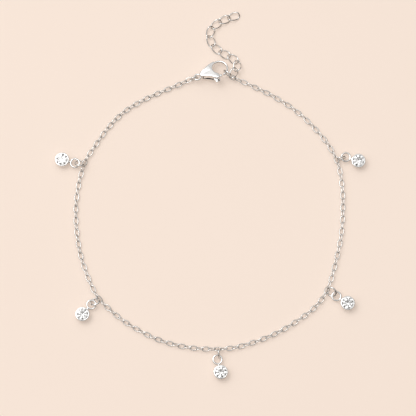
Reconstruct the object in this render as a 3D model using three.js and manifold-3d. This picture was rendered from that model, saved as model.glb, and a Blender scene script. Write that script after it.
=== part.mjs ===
// Charm anklet: fine cable chain, five bezel-set stones, lobster clasp and a ten-link extender.
// Millimetres, +Z up. It lies on the plane z = 0 with the ankle's loop open.
import * as THREE from 'three';
import { ParametricGeometry } from 'three/addons/geometries/ParametricGeometry.js';
import { mergeVertices } from 'three/addons/utils/BufferGeometryUtils.js';
import Module from 'manifold-3d';

const wasm = await Module();
wasm.setup();

// Route of the chain's centre line round the ankle, from the clasp to the extender, as it lies;
// its last point hangs on the end ring
const chainRoute = [
  [-5.35, 38.0], [-6.9, 37.2], [-12.4, 34.9], [-18.1, 32.2], [-23.5, 28.7], [-27.9, 24.0],
  [-31.5, 18.7], [-34.1, 14.0], [-35.9, 6.5], [-36.3, 0.0], [-35.8, -6.5], [-34.5, -12.9],
  [-32.2, -19.1], [-29.6, -23.9], [-23.9, -29.2], [-18.4, -32.7], [-12.6, -35.4], [-6.4, -37.0],
  [0.0, -37.7], [6.4, -37.4], [12.7, -35.7], [18.7, -33.2], [24.4, -29.8], [29.6, -25.6],
  [32.8, -20.6], [35.0, -13.1], [36.4, -6.6], [37.0, 0.0], [37.0, 6.7], [35.9, 13.8],
  [33.1, 19.6], [28.9, 24.9], [24.1, 29.4], [18.6, 33.1], [12.8, 36.1],
];
// Route of the extender's links, from the end ring outwards
const extenderRoute = [
  [8.15, 41.9], [7.85, 43.3], [6.4, 44.7], [4.1, 45.9], [1.9, 47.6], [0.65, 50.0], [0.85, 52.5],
  [2.4, 54.3], [4.6, 55.6], [7.3, 56.6],
];

// Cable chain
const linkLength = 2.22;
const linkWidth = 1.45;
const linkWire = 0.3;
const linkGap = 0.2;
const tubeStep = 3.6;

// Charms: where each hangs on the chain, as a share of its length, and how its rings and cup lie
const charms = [
  { station: 0.171, ringHeading: 176, lean: 42, reach: 1.35, reachHeading: 176, cupHeading: 167 },
  { station: 0.3475, ringHeading: 205, lean: 45, reach: 1.31, reachHeading: 216, cupHeading: 230 },
  { station: 0.5083, ringHeading: 277, lean: 0, reach: 1.7, reachHeading: 262, cupHeading: 284 },
  { station: 0.6644, ringHeading: 325, lean: 42, reach: 1.75, reachHeading: 320, cupHeading: 326 },
  { station: 0.8303, ringHeading: 14, lean: 0, reach: 1.5, reachHeading: 20, cupHeading: -20 },
];
const charmLinkHeight = 1.0;
const charmLinkPitch = 12;
const endLinkEase = 0.15;

// Round rings, by the radius of the wire's centre line
const jumpRadius = 1.35;
const jumpWire = 0.48;
const solderedRadius = 1.2;
const solderedWire = 0.5;
const floorGap = 0.02;

// Bezel cup and stone
const bezelRadius = 1.97;
const bezelFootRadius = 1.72;
const bezelHeight = 2.05;
const bezelBase = 0.45;
const bezelBevel = 0.15;
const bezelLip = 0.14;
const bezelLipDepth = 0.05;
const seatFootRadius = 0.3;
const stoneRadius = 1.7;
const stoneCrown = 0.5;
const stonePavilion = 1.42;
const stoneTable = 0.58;
const stoneMid = 0.82;
const stoneMidRise = 0.52;
const stoneSunk = 0.275;
const stoneGap = 0.06;
const girdleHeight = 0.08;
const neckLength = 0.22;
const neckWidth = 0.62;
const neckDepth = 0.41;
const neckBury = 0.2;

// Clasp, in its own frame: u from the tail ring towards the hook, v towards the spine, w its thickness
const claspPlace = [-2.94, 38.6];
const claspHeading = 22.5;
const claspRoll = 15;
const claspThickness = 2.7;
const claspEdge = 0.4;
const bodyLength = 5.0;
const tailRadius = 0.88;
const tailWire = 0.52;
const hookSetback = 0.62;
const hookDrop = 0.2;
const hookRadius = 2.25;
const hookWidth = 0.66;
const hookDepth = 1.15;
const hookStart = 150;
const hookEnd = -84;
const bodyBite = 0.02;
const slotWidth = 1.3;
const leverClearance = 0.13;
const leverEdge = 0.12;
const pinRadius = 0.28;
const pinClearance = 0.06;
const pinSeat = 0.4;
// Outlines and the pivot as shares: of the body's length from the tail ring's wire, and of the
// hook's radius across it
const bodyOutline = [
  [0, -0.2], [0, 0.2], [0.31, 0.51], [0.63, 0.8], [0.87, 0.955], [1, 0.955], [0.965, 0],
  [0.96, -1.2], [0.91, -1.48], [0.79, -1.42], [0.445, -0.82],
];
const slotOutline = [
  [0.094, -0.155], [0.284, 0.2], [0.644, 0.42], [0.864, 0.31], [1.084, -0.535], [1.084, -1.645],
  [0.094, -1.645],
];
const leverOutline = [
  [0.124, -0.355], [0.164, -0.222], [0.284, 0], [0.484, 0], [0.704, -0.355], [0.832, -0.69],
  [0.964, -0.889], [1.104, -0.951], [1.104, -1.209], [0.964, -1.244], [0.844, -1.311],
  [0.814, -1.467], [0.794, -1.733], [0.724, -1.822], [0.664, -1.733], [0.614, -1.31],
  [0.56, -0.92], [0.344, -0.56], [0.164, -0.45],
];
const pivotShares = [0.374, -0.244];

// Fastening rings: the small one at the tail and the one that the hook closes on
const tailJumpRadius = 1.1;
const tailJumpWire = 0.42;
const tailJumpHeight = 1.34;
const endRingRadius = 1.4;
const endRingHookAngle = -52;
const endRingHeading = -37;
const endRingOffset = 0.58;
const endRingDrop = 0.25;
const endLinkHeading = -32.6;
const endLinkReach = 1.5;

// Extender
const extenderCount = 10;
const extenderPitch = 2.72;
const extenderWire = 0.36;
const extenderWidth = 2.45;
const extenderTwist = 0.42;
const extenderSlack = 0.3;
const extenderHoldAngle = 6;
const extenderSecondRise = 0.41;

// Finish of each mesh
const silver = { color: 0xe3e2df, roughness: 0.16, metalness: 1 };
const clearStone = { color: 0xf4f6f8, roughness: 0.02, metalness: 0 };

// Number of faces round a wire and along a ring
const wireSides = 6;
const ringSteps = 16;
const linkSteps = 12;
const extenderSteps = 18;
const cupSides = 24;
const tubeSides = 8;
const hookSides = 10;
const hookSteps = 18;
const pinSides = 12;

const degrees = THREE.MathUtils.degToRad;
const up = new THREE.Vector3(0, 0, 1);
const heading = (angle) => new THREE.Vector3(Math.cos(degrees(angle)), Math.sin(degrees(angle)), 0);

const model = new THREE.Group();

function addMesh(name, geometry, finish, parent = model) {
  const mesh = new THREE.Mesh(geometry, new THREE.MeshStandardMaterial(finish));
  mesh.name = name;
  parent.add(mesh);
  return mesh;
}

// A closed geometry with shared vertices, whatever made it
function welded(geometry) {
  const bare = geometry.clone();
  bare.deleteAttribute('normal');
  bare.deleteAttribute('uv');
  return mergeVertices(bare, 1e-5);
}

function solidOf(geometry) {
  const shape = welded(geometry);
  return new wasm.Manifold(new wasm.Mesh({
    numProp: 3,
    vertProperties: new Float32Array(shape.attributes.position.array),
    triVerts: new Uint32Array(shape.index.array),
  }));
}

function geometryOf(solid) {
  const mesh = solid.getMesh();
  const geometry = new THREE.BufferGeometry();
  geometry.setAttribute('position', new THREE.BufferAttribute(mesh.vertProperties, mesh.numProp));
  geometry.setIndex(new THREE.BufferAttribute(mesh.triVerts, 1));
  return geometry;
}

// A closed wire: an oval of half-length a and half-width b whose centre line rises and falls twice
// a turn by the twist, with a round section
function wireLoop(a, b, wire, steps, twist = 0) {
  const centre = (angle) => new THREE.Vector3(
    a * Math.cos(angle), b * Math.sin(angle), twist * Math.sin(2 * angle),
  );
  const surface = (across, along, target) => {
    const angle = 2 * Math.PI * along;
    const turn = 2 * Math.PI * across;
    const tangent = new THREE.Vector3(
      -a * Math.sin(angle), b * Math.cos(angle), 2 * twist * Math.cos(2 * angle),
    ).normalize();
    const side = new THREE.Vector3().crossVectors(tangent, up).normalize();
    const over = new THREE.Vector3().crossVectors(side, tangent);
    target.copy(centre(angle))
      .addScaledVector(side, 0.5 * wire * Math.cos(turn))
      .addScaledVector(over, -0.5 * wire * Math.sin(turn));
  };
  return welded(new ParametricGeometry(surface, wireSides, steps));
}

// Places a mesh with its own x axis along one direction and its z axis as near another as it can be
function lay(mesh, place, along, normal) {
  const x = along.clone().normalize();
  const y = new THREE.Vector3().crossVectors(normal, x).normalize();
  const z = new THREE.Vector3().crossVectors(x, y);
  mesh.quaternion.setFromRotationMatrix(new THREE.Matrix4().makeBasis(x, y, z));
  mesh.position.copy(place);
  return mesh;
}

const linkShape = wireLoop((linkLength - linkWire) / 2, (linkWidth - linkWire) / 2, linkWire, linkSteps);
const jumpShape = wireLoop(jumpRadius, jumpRadius, jumpWire, ringSteps);

// Clasp body, standing in its own frame with its thickness along z
const inClasp = ([u, v]) => new THREE.Vector2(tailRadius + u * bodyLength, v * hookRadius);
const outline = (points) => new THREE.Shape(points.map(inClasp));
const pivot = inClasp(pivotShares).toArray();
const hookCentre = [tailRadius + bodyLength + hookSetback, -hookDrop];

function plate(points, thickness, edge = 0) {
  const options = edge
    ? { depth: thickness - 2 * edge, bevelThickness: edge, bevelSize: edge, bevelOffset: -edge, bevelSegments: 2 }
    : { depth: thickness, bevelEnabled: false };
  return new THREE.ExtrudeGeometry(outline(points), options)
    .translate(0, 0, edge - thickness / 2);
}

function hookPoint(angle, radius = hookRadius) {
  return new THREE.Vector3(
    hookCentre[0] + radius * Math.cos(degrees(angle)), hookCentre[1] + radius * Math.sin(degrees(angle)), 0,
  );
}

// A bar along an arc of the hook's circle, with an oval section of its width and depth
function hookBar() {
  const path = new THREE.Curve();
  path.getPoint = (share, target = new THREE.Vector3()) => (
    target.copy(hookPoint(hookStart + share * (hookEnd - hookStart)))
  );
  const section = new THREE.Shape(Array.from({ length: hookSides }, (_, k) => {
    const turn = 2 * Math.PI * (k + 0.5) / hookSides;
    return new THREE.Vector2(hookDepth / 2 * Math.sin(turn), hookWidth / 2 * Math.cos(turn));
  }));
  return new THREE.ExtrudeGeometry(section, { steps: hookSteps, extrudePath: path });
}

const disc = (radius, depth, sides, [u, v]) => (
  new THREE.CylinderGeometry(radius, radius, depth, sides).rotateX(Math.PI / 2).translate(u, v, 0)
);

function claspBodyGeometry() {
  const hole = disc(hookRadius - hookWidth / 2 + bodyBite, 2 * claspThickness, cupSides, hookCentre);
  const tail = wireLoop(tailRadius, tailRadius, tailWire, ringSteps);
  const holeDepth = slotWidth + 2 * pinSeat + 2 * pinClearance;
  return geometryOf(
    solidOf(plate(bodyOutline, claspThickness, claspEdge))
      .subtract(solidOf(hole))
      .add(solidOf(hookBar()))
      .add(solidOf(tail))
      .subtract(solidOf(plate(slotOutline, slotWidth)))
      .subtract(solidOf(disc(pinRadius + pinClearance, holeDepth, pinSides, pivot))),
  );
}

function leverGeometry() {
  const blank = plate(leverOutline, slotWidth - 2 * leverClearance, leverEdge);
  const bore = disc(pinRadius + pinClearance, 2 * slotWidth, pinSides, pivot);
  return geometryOf(solidOf(blank).subtract(solidOf(bore)));
}

const clasp = new THREE.Group();
addMesh('clasp_body', claspBodyGeometry(), silver, clasp);
addMesh('clasp_lever', leverGeometry(), silver, clasp);
addMesh('clasp_pin', disc(pinRadius, slotWidth + 2 * pinSeat, pinSides, pivot), silver, clasp);
const claspWay = heading(claspHeading);
const claspAcross = new THREE.Vector3().crossVectors(up, claspWay);
const claspNormal = up.clone().multiplyScalar(Math.cos(degrees(claspRoll)))
  .addScaledVector(claspAcross, Math.sin(degrees(claspRoll)));
lay(clasp, new THREE.Vector3(claspPlace[0], claspPlace[1], 0), claspWay, claspNormal);
clasp.updateMatrixWorld(true);
clasp.position.z = floorGap - new THREE.Box3().setFromObject(clasp, true).min.z;
clasp.updateMatrixWorld(true);
model.add(clasp);

// A ring that stands on edge along a heading, with its centre beyond a point by an offset
function standingRing(name, radius, wire, point, way, offset, height) {
  const place = point.clone().addScaledVector(way, offset).setZ(height);
  const shape = wireLoop(radius, radius, wire, ringSteps);
  lay(addMesh(name, shape, silver), place, way, new THREE.Vector3().crossVectors(way, up));
  return place;
}

const hookHold = hookPoint(endRingHookAngle).applyMatrix4(clasp.matrixWorld);
const endRing = standingRing(
  'end_jump_ring', endRingRadius, jumpWire, hookHold, heading(endRingHeading),
  endRingOffset, hookHold.z - endRingDrop,
);

// Chain route: flat curve at half the chain's width above the floor
const chainHeight = linkWidth / 2;
const lastPoint = endRing.clone().addScaledVector(heading(endLinkHeading), endLinkReach);
const route = new THREE.CatmullRomCurve3(
  [...chainRoute.map(([x, y]) => new THREE.Vector3(x, y)), lastPoint].map((point) => point.setZ(chainHeight)),
  false, 'catmullrom', 0.5,
);
route.arcLengthDivisions = 800;
const routeLength = route.getLength();

// A stretch of the chain as a tube between two shares of the route's length
function chainRun(name, from, to) {
  const steps = Math.round((to - from) * routeLength / tubeStep);
  const path = new THREE.Curve();
  path.getPoint = (share, target = new THREE.Vector3()) => route.getPointAt(from + share * (to - from), target);
  const section = new THREE.Shape(Array.from({ length: tubeSides }, (_, k) => {
    const angle = 2 * Math.PI * (k + 0.5) / tubeSides;
    const radius = linkWidth / 2 / Math.cos(Math.PI / tubeSides);
    return new THREE.Vector2(radius * Math.cos(angle), radius * Math.sin(angle));
  }));
  addMesh(name, new THREE.ExtrudeGeometry(section, { steps, extrudePath: path }), silver);
}

const clear = (linkLength / 2 + linkGap) / routeLength;
const stops = [0, ...charms.map((charm) => charm.station), 1];
for (let k = 0; k + 1 < stops.length; k += 1) {
  chainRun(`chain_run_${k + 1}`, stops[k] + clear, stops[k + 1] - clear);
}

// Bezel cup with its back on the floor, joined to its soldered ring by a short neck
const cupCentreToRing = bezelRadius + neckLength + solderedRadius + solderedWire / 2;
const solderedHeight = bezelHeight / 2;
const girdleZ = bezelHeight - stoneSunk;

function cupGeometry() {
  const seat = stoneRadius + stoneGap;
  const mouth = stoneRadius - bezelLip;
  const seatFoot = girdleZ - stonePavilion - 2 * stoneGap;
  const profile = [
    [0, 0], [bezelFootRadius, 0], [bezelRadius, bezelBase], [bezelRadius, bezelHeight - bezelBevel],
    [bezelRadius - bezelBevel, bezelHeight], [mouth + stoneGap, bezelHeight],
    [mouth + stoneGap, bezelHeight - bezelLipDepth], [seat, girdleZ + girdleHeight + stoneGap],
    [seat, girdleZ - stoneGap], [seatFootRadius, seatFoot], [0, seatFoot],
  ];
  return new THREE.LatheGeometry(profile.map(([r, z]) => new THREE.Vector2(r, z)), cupSides)
    .rotateX(Math.PI / 2);
}

function settingGeometry() {
  const ring = wireLoop(solderedRadius, solderedRadius, solderedWire, ringSteps)
    .translate(0, 0, solderedHeight);
  const neck = new THREE.BoxGeometry(neckLength + 2 * neckBury, neckWidth, neckDepth)
    .translate(solderedRadius + solderedWire / 2 + neckLength / 2, 0, solderedHeight);
  const cup = cupGeometry().translate(cupCentreToRing, 0, 0);
  return geometryOf(solidOf(ring).add(solidOf(neck)).add(solidOf(cup)));
}

// Round brilliant with its girdle at z = 0: table, stars, kites, halves and pavilion mains
function brilliantGeometry() {
  const eighth = Math.PI / 4;
  const at = (radius, angle, z) => new THREE.Vector3(radius * Math.cos(angle), radius * Math.sin(angle), z);
  const tableRadius = stoneRadius * stoneTable;
  const crownMid = stoneRadius * stoneMid;
  const points = [];
  const triangle = (...corners) => points.push(...corners);
  const top = new THREE.Vector3(0, 0, girdleHeight + stoneCrown);
  const culet = new THREE.Vector3(0, 0, -stonePavilion);
  for (let k = 0; k < 8; k += 1) {
    const a = k * eighth;
    const table = (n) => at(tableRadius, a + n * eighth, girdleHeight + stoneCrown);
    const mid = (n) => at(crownMid, a + (n + 0.5) * eighth, girdleHeight + stoneCrown * stoneMidRise);
    const rim = (n) => at(stoneRadius, a + n * eighth / 2, girdleHeight);
    const belt = (n) => at(stoneRadius, a + n * eighth / 2, 0);
    triangle(top, table(0), table(1));
    triangle(table(0), mid(0), table(1));
    triangle(table(0), rim(0), mid(0));
    triangle(table(1), mid(0), rim(2));
    triangle(mid(0), rim(0), rim(1));
    triangle(mid(0), rim(1), rim(2));
    for (const n of [0, 1]) {
      triangle(rim(n), belt(n), belt(n + 1));
      triangle(rim(n), belt(n + 1), rim(n + 1));
      triangle(belt(n), culet, belt(n + 1));
    }
  }
  return welded(new THREE.BufferGeometry().setFromPoints(points));
}

// Charms
const settingShape = settingGeometry();
const stoneShape = brilliantGeometry();

charms.forEach((charm, k) => {
  const n = k + 1;
  const outward = heading(charm.ringHeading);
  const across = new THREE.Vector3().crossVectors(up, outward);
  const linkPlace = route.getPointAt(charm.station).setZ(charmLinkHeight);
  const tangent = route.getTangentAt(charm.station);
  const ringRise = jumpRadius * Math.cos(degrees(charm.lean));
  const ringHeight = ringRise + jumpWire / 2 + floorGap;
  const swing = Math.asin((ringHeight - charmLinkHeight) / ringRise);
  const ringUp = across.clone().multiplyScalar(Math.sin(degrees(charm.lean)))
    .addScaledVector(up, Math.cos(degrees(charm.lean)));
  const toRing = outward.clone().multiplyScalar(Math.cos(swing)).addScaledVector(ringUp, Math.sin(swing));
  const wireWay = ringUp.clone().multiplyScalar(Math.cos(swing)).addScaledVector(outward, -Math.sin(swing));
  const ringPlace = linkPlace.clone().addScaledVector(toRing, jumpRadius);
  const ringNormal = new THREE.Vector3().crossVectors(outward, ringUp);
  lay(addMesh(`charm_jump_ring_${n}`, jumpShape, silver), ringPlace, outward, ringNormal);

  const pitch = Math.sign(wireWay.dot(tangent)) * Math.min(degrees(charmLinkPitch), degrees(charm.lean));
  const along = tangent.clone().multiplyScalar(Math.cos(pitch)).addScaledVector(up, -Math.sin(pitch));
  lay(addMesh(`charm_link_${n}`, linkShape, silver), linkPlace, along, wireWay);

  const setting = new THREE.Group();
  setting.position.copy(ringPlace).addScaledVector(heading(charm.reachHeading), charm.reach).setZ(0);
  setting.rotation.z = degrees(charm.cupHeading);
  addMesh(`charm_setting_${n}`, settingShape, silver, setting);
  addMesh(`charm_stone_${n}`, stoneShape, clearStone, setting)
    .position.set(cupCentreToRing, 0, girdleZ);
  model.add(setting);
});

// A link that a standing ring passes through, in line with the chain and square to the ring's wire
function endLink(name, share, outwards, ringPlace, radius) {
  const place = route.getPointAt(share);
  const hole = place.clone().addScaledVector(outwards, linkLength / 2 - linkWire - endLinkEase - jumpWire / 2);
  const reach = Math.hypot(hole.x - ringPlace.x, hole.y - ringPlace.y);
  const turn = Math.acos(Math.min(1, reach / radius));
  place.z = ringPlace.z - radius * Math.sin(turn);
  const along = outwards.clone().multiplyScalar(Math.cos(degrees(charmLinkPitch)))
    .addScaledVector(up, Math.sin(degrees(charmLinkPitch)));
  lay(addMesh(name, linkShape, silver), place, along, up);
}

const tailHole = new THREE.Vector3(claspPlace[0], claspPlace[1], 0);
const firstWay = route.getPointAt(0).sub(tailHole).setZ(0).normalize();
const tailRise = Math.asin((clasp.position.z - tailJumpHeight) / tailJumpRadius);
const tailRing = standingRing(
  'clasp_jump_ring', tailJumpRadius, tailJumpWire, tailHole, firstWay,
  tailJumpRadius * Math.cos(tailRise), tailJumpHeight,
);
endLink('chain_end_link_1', 0, route.getTangentAt(0).negate(), tailRing, tailJumpRadius);

endLink('chain_end_link_2', 1, route.getTangentAt(1), endRing, endRingRadius);

// Extender: twisted oval links that lie flat and lock into each other
const extenderLength = extenderPitch + 2 * extenderWire + extenderSlack;
const extenderShape = wireLoop(
  (extenderLength - extenderWire) / 2, (extenderWidth - extenderWire) / 2, extenderWire, extenderSteps,
  extenderTwist,
);
const extenderHeight = extenderTwist + extenderWire / 2 + floorGap;
const holdTurn = degrees(extenderHoldAngle);
const holdPoint = endRing.clone()
  .addScaledVector(heading(endRingHeading), endRingRadius * Math.cos(holdTurn))
  .addScaledVector(up, endRingRadius * Math.sin(holdTurn));
const extenderPath = new THREE.CatmullRomCurve3([
  holdPoint,
  ...extenderRoute.map(([x, y], k) => (
    new THREE.Vector3(x, y, extenderHeight + (k === 0 ? extenderSecondRise : 0))
  )),
], false, 'catmullrom', 0.5);
extenderPath.arcLengthDivisions = 400;
const extenderReach = extenderPath.getLength();
const extenderPoint = (reach) => extenderPath.getPointAt(Math.min(1, Math.max(0, reach / extenderReach)));
const firstReach = extenderLength / 2 - extenderWire - jumpWire / 2 - extenderSlack / 4;
for (let k = 0; k < extenderCount; k += 1) {
  const reach = firstReach + k * extenderPitch;
  const place = extenderPoint(reach);
  const along = extenderPoint(reach + extenderPitch / 2).sub(extenderPoint(reach - extenderPitch / 2));
  lay(addMesh(`extender_link_${k + 1}`, extenderShape, silver), place, along, up);
}

// The origin is in the middle of the whole piece, on the floor
const extent = new THREE.Box3().setFromObject(model, true);
const middle = extent.getCenter(new THREE.Vector3());
model.position.set(-middle.x, -middle.y, 0);

export default model;
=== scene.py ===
import math

import bmesh
import bpy
import numpy as np
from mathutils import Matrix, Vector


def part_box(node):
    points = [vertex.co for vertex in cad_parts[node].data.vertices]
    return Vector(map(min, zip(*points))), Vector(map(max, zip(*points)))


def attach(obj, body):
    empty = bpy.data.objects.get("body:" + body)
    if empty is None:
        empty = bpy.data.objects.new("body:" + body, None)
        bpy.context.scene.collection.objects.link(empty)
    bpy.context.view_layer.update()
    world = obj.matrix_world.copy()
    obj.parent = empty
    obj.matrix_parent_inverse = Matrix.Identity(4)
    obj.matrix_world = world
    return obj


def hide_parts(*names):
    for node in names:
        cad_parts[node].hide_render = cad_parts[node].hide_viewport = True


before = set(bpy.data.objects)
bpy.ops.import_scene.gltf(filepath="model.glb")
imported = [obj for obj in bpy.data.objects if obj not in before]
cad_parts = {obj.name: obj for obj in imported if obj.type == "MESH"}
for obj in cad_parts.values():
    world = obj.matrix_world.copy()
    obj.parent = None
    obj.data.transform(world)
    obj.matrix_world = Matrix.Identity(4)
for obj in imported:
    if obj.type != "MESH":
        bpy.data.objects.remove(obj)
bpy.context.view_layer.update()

# Shapes are in millimetres in the drawing's frame, and show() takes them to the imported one
MM = 0.001
UP = np.array([0.0, 0.0, 1.0])

# Camera: straight above the loop's middle but for a lean of 13 degrees, through a long lens
PHOTO_PIXELS = 416
PIXEL = 0.275
CAMERA_ELEVATION = 77
CAMERA_DISTANCE = 620
CAMERA_CLIP = (0.01, 10)
SENSOR = 36
FLOOR_MIDDLE = (0.0, 1.69)

# Route of the chain round the ankle as it lies, up to the link that hangs on the end ring
CHAIN_ROUTE = [
    [-5.35, 38.0], [-6.9, 37.2], [-12.4, 34.9], [-18.1, 32.2], [-23.5, 28.7], [-27.9, 24.0],
    [-31.5, 18.7], [-34.1, 14.0], [-35.9, 6.5], [-36.3, 0.0], [-35.8, -6.5], [-34.5, -12.9],
    [-32.2, -19.1], [-29.6, -23.9], [-23.9, -29.2], [-18.4, -32.7], [-12.6, -35.4], [-6.4, -37.0],
    [0.0, -37.7], [6.4, -37.4], [12.7, -35.7], [18.7, -33.2], [24.4, -29.8], [29.6, -25.6],
    [32.8, -20.6], [35.0, -13.1], [36.4, -6.6], [37.0, 0.0], [37.0, 6.7], [35.9, 13.8],
    [33.1, 19.6], [28.9, 24.9], [24.1, 29.4], [18.6, 33.1], [12.8, 36.1],
]
ROUTE_DIVISIONS = 800
# Route of the extender's links, from the end ring outwards
EXTENDER_ROUTE = [
    [8.15, 41.9], [7.85, 43.3], [6.4, 44.7], [4.1, 45.9], [1.9, 47.6], [0.65, 50.0], [0.85, 52.5],
    [2.4, 54.3], [4.6, 55.6], [7.3, 56.6],
]
EXTENDER_DIVISIONS = 400

# Cable chain, its rolls in degrees being those of the flat links and of the links on edge
LINK_LENGTH = 2.22
LINK_WIDTH = 1.45
LINK_WIRE = 0.3
LINK_BULGE = 0.08
LINK_PITCH_MOST = 1.74
LINK_PLAY = 0.05
FLAT_LINK_HEIGHT = 0.6
EDGE_LINK_HEIGHT = 0.725
LINK_ROLLS = (2, 67)
LINK_ROLL_SPREAD = 6
LINK_YAW_SPREAD = 3
CLIMB_LINKS = 4
DRAWS_SEED = 7

# Charms: where each hangs on the chain, as a share of its length, and how its rings and cup lie
CHARM_COLUMNS = ("station", "ring_heading", "lean", "reach", "reach_heading", "cup_heading")
CHARM_ROWS = [
    (0.171, 176, 42, 1.35, 176, 167),
    (0.3475, 205, 45, 1.31, 216, 230),
    (0.5083, 277, 0, 1.7, 262, 284),
    (0.6644, 325, 42, 1.75, 320, 326),
    (0.8303, 14, 0, 1.5, 20, -20),
]
CHARMS = [dict(zip(CHARM_COLUMNS, row)) for row in CHARM_ROWS]
CHARM_LINK_HEIGHT = 1.0
CHARM_LINK_PITCH = 12

# Round rings, by the radius of the wire's centre line
JUMP_RADIUS = 1.35
JUMP_WIRE = 0.48
SOLDERED_RADIUS = 1.2
SOLDERED_WIRE = 0.5
FLOOR_GAP = 0.02
SPLIT_GAP = 0.035
SPLIT_HEADING = -105
RING_END_SHARE = 1 / 8

# Bezel cup, neck and stone
BEZEL_RADIUS = 1.97
BEZEL_FOOT_RADIUS = 1.72
BEZEL_HEIGHT = 2.05
BEZEL_BASE = 0.45
BEZEL_LIP = 0.14
BEZEL_LIP_DEPTH = 0.05
# How far from each corner of the cup's profile its rounding starts
FOOT_CUT = 0.1
BASE_CUT = 0.16
RIM_CUT = 0.24
LIP_CUT = 0.05
UNDER_LIP_CUT = 0.01
SEAT_CUT = 0.02
SEAT_FOOT_RADIUS = 0.3
STONE_RADIUS = 1.7
STONE_CROWN = 0.5
STONE_PAVILION = 1.42
STONE_TABLE = 0.58
STONE_STAR = 0.8
STONE_LOWER = 0.24
STONE_SUNK = 0.275
STONE_GAP = 0.06
GIRDLE_HEIGHT = 0.08
NECK_LENGTH = 0.22
NECK_WIDTH = 0.62
NECK_DEPTH = 0.41
NECK_FLARE = 1.5
NECK_BURY = 0.16
NECK_FULLNESS = 2.4
NECK_ROUNDING = 0.03

# Clasp, in its own frame: u from the tail ring towards the hook, v towards the spine
CLASP_HEADING = 22.5
CLASP_ROLL = 15
CLASP_THICKNESS = 2.7
BODY_LENGTH = 5.0
BODY_MIDDLE = (0.6, -0.05)
BODY_TAIL_THICKNESS = 2.1
BODY_TAPER = 0.4
BODY_FULLNESS = 10.0
# Its facet towards the hook: the crease's two ends as shares, and its fall for each mm across
CREASE_SHARES = [(0.53, 0.86), (0.86, -1.5)]
CREASE_FALL = 0.22
TAIL_RADIUS = 0.88
TAIL_WIRE = 0.52
HOOK_SETBACK = 0.62
HOOK_DROP = 0.2
HOOK_RADIUS = 2.25
HOOK_WIDTHS = (0.74, 0.6)
HOOK_DEPTHS = (1.5, 0.95)
HOOK_OUTER_RADIUS = 2.58
HOOK_HOLE_RADIUS = 1.92
HOOK_START = 150
HOOK_END = -84
HOOK_FULLNESS = 2.3
HOOK_ROUNDING = 0.12
SLOT_WIDTH = 1.3
LEVER_CLEARANCE = 0.13
LEVER_EDGE = 0.16
PIN_RADIUS = 0.28
PIN_CLEARANCE = 0.06
PIN_SEAT = 0.4
CAST_VOXEL = 0.04
CAST_SMOOTHING = 6
CAST_POLISH = 0.5
# Outlines and the pivot, as shares of the body's length along it and the hook's radius across
BODY_OUTLINE = [
    (0, -0.2), (0, 0.2), (0.31, 0.51), (0.63, 0.8), (0.87, 0.955), (1, 0.955), (0.965, 0),
    (0.96, -1.2), (0.91, -1.48), (0.79, -1.42), (0.445, -0.82),
]
SLOT_OUTLINE = [
    (0.094, -0.155), (0.284, 0.2), (0.644, 0.42), (0.864, 0.31), (1.084, -0.535), (1.084, -1.645),
    (0.094, -1.645),
]
LEVER_OUTLINE = [
    (0.124, -0.355), (0.164, -0.222), (0.284, 0), (0.484, 0), (0.704, -0.355), (0.832, -0.69),
    (0.964, -0.889), (1.104, -0.951), (1.104, -1.209), (0.964, -1.244), (0.844, -1.311),
    (0.814, -1.467), (0.794, -1.733), (0.724, -1.822), (0.664, -1.733), (0.614, -1.31),
    (0.56, -0.92), (0.344, -0.56), (0.164, -0.45),
]
PIVOT_SHARES = (0.374, -0.244)

# Fastening rings: the small one at the tail and the one that the hook closes on
TAIL_JUMP_RADIUS = 1.1
TAIL_JUMP_WIRE = 0.42
END_RING_RADIUS = 1.4
END_RING_HEADING = -37

# Extender
EXTENDER_COUNT = 10
EXTENDER_PITCH = 2.72
EXTENDER_WIRE = 0.36
EXTENDER_WIDTH = 2.45
EXTENDER_TWIST = 0.42
EXTENDER_SLACK = 0.3
EXTENDER_HOLD_ANGLE = 6
EXTENDER_SECOND_RISE = 0.41
EXTENDER_BULGE = 0.03

# Fineness of the meshes
CHAIN_STEPS, CHAIN_SIDES = 20, 8
RING_STEPS, RING_SIDES = 64, 16
EXTENDER_STEPS, EXTENDER_SIDES = 48, 14
NECK_STEPS, NECK_SIDES = 12, 20
HOOK_STEPS, HOOK_SIDES = 90, 24
CUP_SEGMENTS = 72
HOLE_SIDES = 72
PIN_SIDES = 24
BODY_RINGS = 28
BODY_SIDE_STEPS, LEVER_SIDE_STEPS = 8, 5
END_ROUNDS = 6
# Edges stay sharp past these angles in degrees: on wires, on castings and on cut stones
WIRE_CREASE, CAST_CREASE, FACET_CREASE = 60, 40, 1

# Finishes, the grain in repeats for each metre and the depth of the dents in millimetres
SILVER_COLUMNS = ("bright", "dull", "smooth", "worn", "grain", "dents")
SILVER_ROWS = {
    "drawn silver wire": ((0.76, 0.75, 0.735), (0.62, 0.605, 0.585), 0.09, 0.26, 1400, 0.012),
    "polished silver ring": ((0.78, 0.77, 0.755), (0.66, 0.645, 0.625), 0.07, 0.2, 900, 0.01),
    "cast silver": ((0.84, 0.83, 0.82), (0.74, 0.73, 0.715), 0.08, 0.2, 500, 0.02),
    "clasp silver": ((0.86, 0.855, 0.845), (0.78, 0.77, 0.755), 0.08, 0.18, 500, 0.01),
}
# Soft patches and hair marks, their grain as shares of the finish's own
PATCH_GRAIN = 0.35
PATCH_STOPS = (0.3, 0.62)
MARK_GRAIN = 6
MARK_SHARE = 0.3
# Painted shade in the clasp's slot, over its dull oxidised walls, and the width over which it
# fades, in millimetres
SLOT_SHADE_AND_TARNISH = (0.09, 0.08, 0.075)
SLOT_SHADE_EDGE = 0.1
STONE_TINTS = [(0.3, (0.995, 0.985, 0.97)), (0.7, (1.0, 0.998, 0.985))]
STONE_GRAIN = 400
STONE_INDEX = 2.1

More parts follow.
